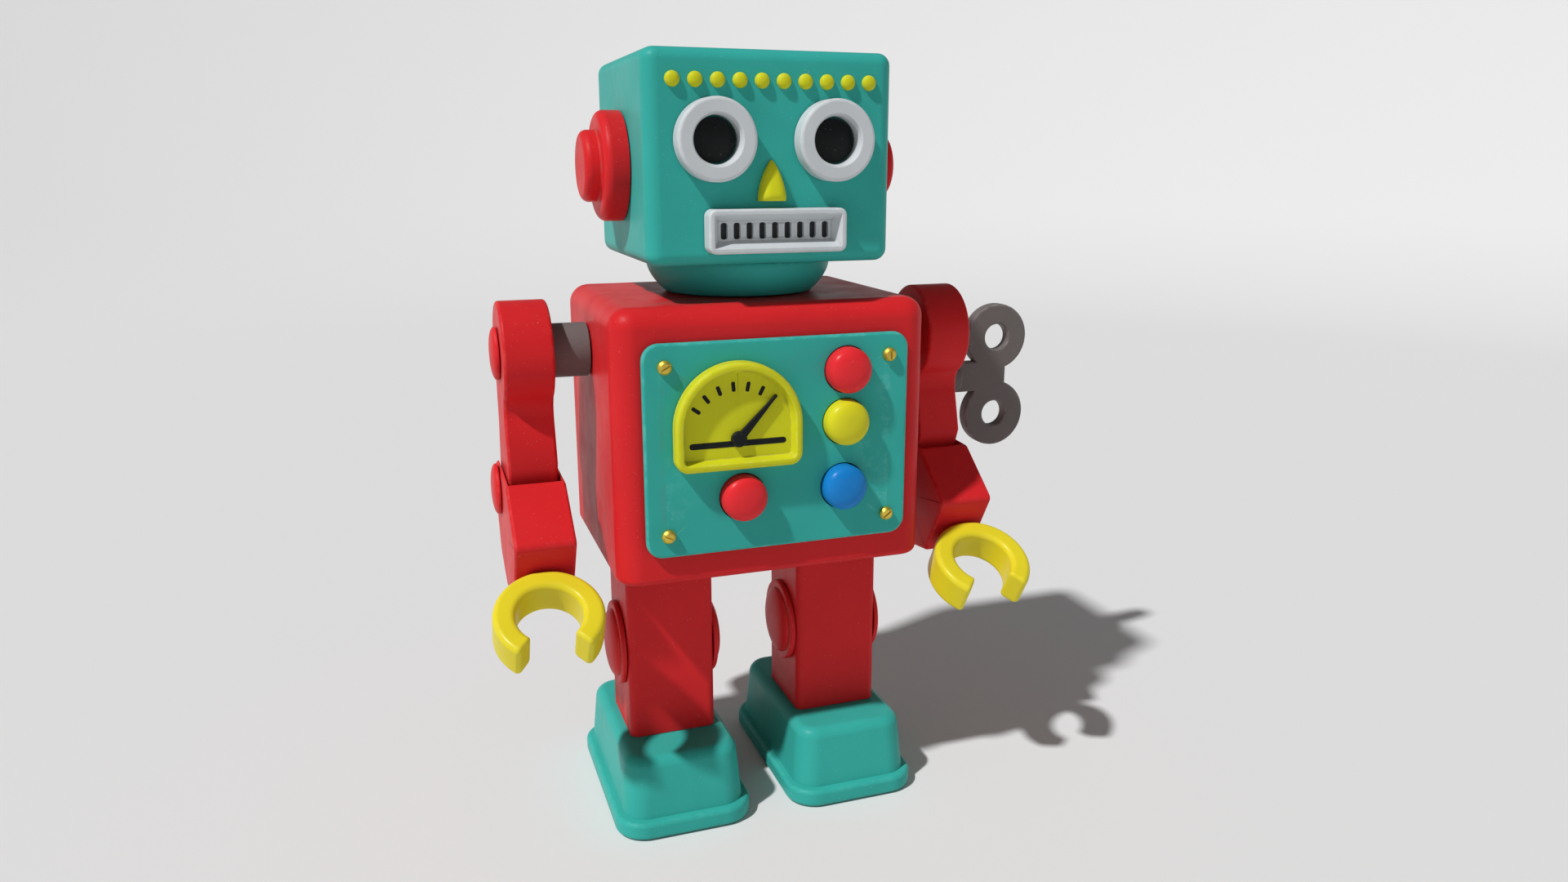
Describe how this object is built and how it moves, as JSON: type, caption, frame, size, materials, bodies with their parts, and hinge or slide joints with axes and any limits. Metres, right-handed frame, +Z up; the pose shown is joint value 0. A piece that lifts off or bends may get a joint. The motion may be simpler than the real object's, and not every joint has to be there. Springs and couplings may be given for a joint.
{
  "type": "wind-up tin robot toy",
  "caption": "Standing wind-up tin toy robot: boxy head on a swivel neck, control panel with gauge and push buttons, jointed arms with C-claws, rocking legs in boots, side key.",
  "frame": {"origin": "on the floor, under the middle of the whole toy's box; the neck's axis and the robot's mid plane stand at x = -14 mm, y = 5.29 mm", "axes": "+Z up, +X to the robot's own left (the side with the key), -Y is the way the robot faces"},
  "size_m": [0.172, 0.0766, 0.2],
  "materials": {
    "red_tinplate": "satin enamel",
    "teal_tinplate": "satin enamel",
    "yellow_tinplate": "satin enamel",
    "pale_grey_tinplate": "satin enamel",
    "black_paint": "matt enamel",
    "bare_tinplate": "plain tinplate, lightly rolled",
    "grey_steel": "dark grey, dull",
    "spring_steel": "blued",
    "brass": "stamped, dull",
    "brass_screw": "lacquered",
    "red_button": "moulded, glossy",
    "yellow_button": "moulded, glossy",
    "blue_button": "moulded, glossy",
    "yellow_claw": "moulded, satin"
  },
  "bodies": {
    "torso": {"body_shell": "red_tinplate", "rear_cover": "red_tinplate", "base_plate": "bare_tinplate", "control_panel": "teal_tinplate", "panel_screw_1": "brass_screw", "panel_screw_2": "brass_screw", "panel_screw_3": "brass_screw", "panel_screw_4": "brass_screw", "gauge_housing": "yellow_tinplate", "gauge_needle": "black_paint", "motor_plate_right": "bare_tinplate", "motor_plate_left": "bare_tinplate", "hip_axle": "grey_steel", "mainspring": "spring_steel", "right_shoulder_spacer": "grey_steel", "left_shoulder_spacer": "grey_steel", "right_shoulder_rivet": "red_tinplate", "left_shoulder_rivet": "red_tinplate"},
    "head": {"head_shell": "teal_tinplate", "brow_studs": "yellow_tinplate", "neck_collar": "teal_tinplate", "right_eye_ring": "pale_grey_tinplate", "left_eye_ring": "pale_grey_tinplate", "right_eye_lens": "black_paint", "left_eye_lens": "black_paint", "right_ear": "red_tinplate", "left_ear": "red_tinplate", "nose": "yellow_tinplate", "mouth_grille": "pale_grey_tinplate"},
    "button_red_top": {"button_red_top": "red_button"},
    "button_yellow": {"button_yellow": "yellow_button"},
    "button_blue": {"button_blue": "blue_button"},
    "button_red_low": {"button_red_low": "red_button"},
    "winding_key": {"winding_key": "grey_steel", "winding_arbor": "grey_steel", "ratchet_wheel": "brass"},
    "great_wheel": {"great_wheel": "brass"},
    "click": {"click": "spring_steel"},
    "crank_shaft": {"crank_shaft": "brass", "crank_disc_right": "brass", "crank_disc_left": "brass"},
    "governor": {"governor": "brass"},
    "right_upper_arm": {"right_upper_arm": "red_tinplate"},
    "right_forearm": {"right_forearm": "red_tinplate", "right_elbow_rivet": "red_tinplate"},
    "right_claw": {"right_claw": "yellow_claw"},
    "right_leg": {"right_leg": "red_tinplate", "right_knee_pin": "red_tinplate", "right_knee_cap": "red_tinplate", "right_boot": "teal_tinplate", "right_sole": "bare_tinplate"},
    "left_upper_arm": {"left_upper_arm": "red_tinplate"},
    "left_forearm": {"left_forearm": "red_tinplate", "left_elbow_rivet": "red_tinplate"},
    "left_claw": {"left_claw": "yellow_claw"},
    "left_leg": {"left_leg": "red_tinplate", "left_knee_pin": "red_tinplate", "left_knee_cap": "red_tinplate", "left_boot": "teal_tinplate", "left_sole": "bare_tinplate"}
  },
  "joints": [
    {"name": "head_turn", "type": "hinge", "parent": "torso", "child": "head", "pos_m": [-0.014, 0.00529, 0.141], "axis": [0, 0, 1], "range_deg": [-90, 90]},
    {"name": "right_shoulder", "type": "hinge", "parent": "torso", "child": "right_upper_arm", "pos_m": [-0.0716, 0.00529, 0.1272], "axis": [-1, 0, 0], "range_deg": [-40, 160]},
    {"name": "right_elbow", "type": "hinge", "parent": "right_upper_arm", "child": "right_forearm", "pos_m": [-0.0716, 0.01079, 0.09], "axis": [-1, 0, 0], "range_deg": [-45, 12]},
    {"name": "right_wrist", "type": "hinge", "parent": "right_forearm", "child": "right_claw", "pos_m": [-0.0726, -0.01541, 0.0726], "axis": [0, -0.8616, -0.5075], "range_deg": [-90, 90]},
    {"name": "left_shoulder", "type": "hinge", "parent": "torso", "child": "left_upper_arm", "pos_m": [0.0436, 0.00529, 0.1272], "axis": [-1, 0, 0], "range_deg": [-8, 160]},
    {"name": "left_elbow", "type": "hinge", "parent": "left_upper_arm", "child": "left_forearm", "pos_m": [0.0436, 0.01079, 0.09], "axis": [-1, 0, 0], "range_deg": [-45, 12]},
    {"name": "left_wrist", "type": "hinge", "parent": "left_forearm", "child": "left_claw", "pos_m": [0.0446, -0.01541, 0.0726], "axis": [0, -0.8616, -0.5075], "range_deg": [-90, 90]},
    {"name": "right_leg_swing", "type": "hinge", "parent": "torso", "child": "right_leg", "pos_m": [-0.0381, 0.00329, 0.084], "axis": [-1, 0, 0], "range_deg": [-6.5, 6.5]},
    {"name": "left_leg_swing", "type": "hinge", "parent": "torso", "child": "left_leg", "pos_m": [0.0101, 0.00329, 0.084], "axis": [-1, 0, 0], "range_deg": [-6.5, 6.5]},
    {"name": "button_red_top_press", "type": "slide", "parent": "torso", "child": "button_red_top", "axis": [0, 1, 0], "range_m": [0, 0.0015], "stiffness_N_per_m": 300},
    {"name": "button_yellow_press", "type": "slide", "parent": "torso", "child": "button_yellow", "axis": [0, 1, 0], "range_m": [0, 0.0015], "stiffness_N_per_m": 300},
    {"name": "button_blue_press", "type": "slide", "parent": "torso", "child": "button_blue", "axis": [0, 1, 0], "range_m": [0, 0.0015], "stiffness_N_per_m": 300},
    {"name": "button_red_low_press", "type": "slide", "parent": "torso", "child": "button_red_low", "axis": [0, 1, 0], "range_m": [0, 0.0015], "stiffness_N_per_m": 300},
    {"name": "key_wind", "type": "hinge", "parent": "torso", "child": "winding_key", "pos_m": [-0.014, 0.02379, 0.109], "axis": [1, 0, 0], "continuous": true},
    {"name": "great_wheel_spin", "type": "hinge", "parent": "torso", "child": "great_wheel", "pos_m": [-0.0126, 0.02379, 0.109], "axis": [1, 0, 0], "continuous": true},
    {"name": "click_lift", "type": "hinge", "parent": "great_wheel", "child": "click", "pos_m": [-0.0108, 0.02379, 0.1202], "axis": [-1, 0, 0], "range_deg": [0, 12], "stiffness_Nm_per_rad": 0.0002},
    {"name": "crank_spin", "type": "hinge", "parent": "torso", "child": "crank_shaft", "pos_m": [-0.014, 0.0115, 0.1004], "axis": [1, 0, 0], "continuous": true},
    {"name": "governor_spin", "type": "hinge", "parent": "torso", "child": "governor", "pos_m": [-0.014, 0.0055, 0.11079], "axis": [1, 0, 0], "continuous": true}
  ],
  "couplings": [
    {"joint": "left_leg_swing", "follows": "right_leg_swing", "ratio": -1},
    {"joint": "crank_spin", "follows": "great_wheel_spin", "ratio": -4},
    {"joint": "governor_spin", "follows": "great_wheel_spin", "ratio": 12}
  ]
}
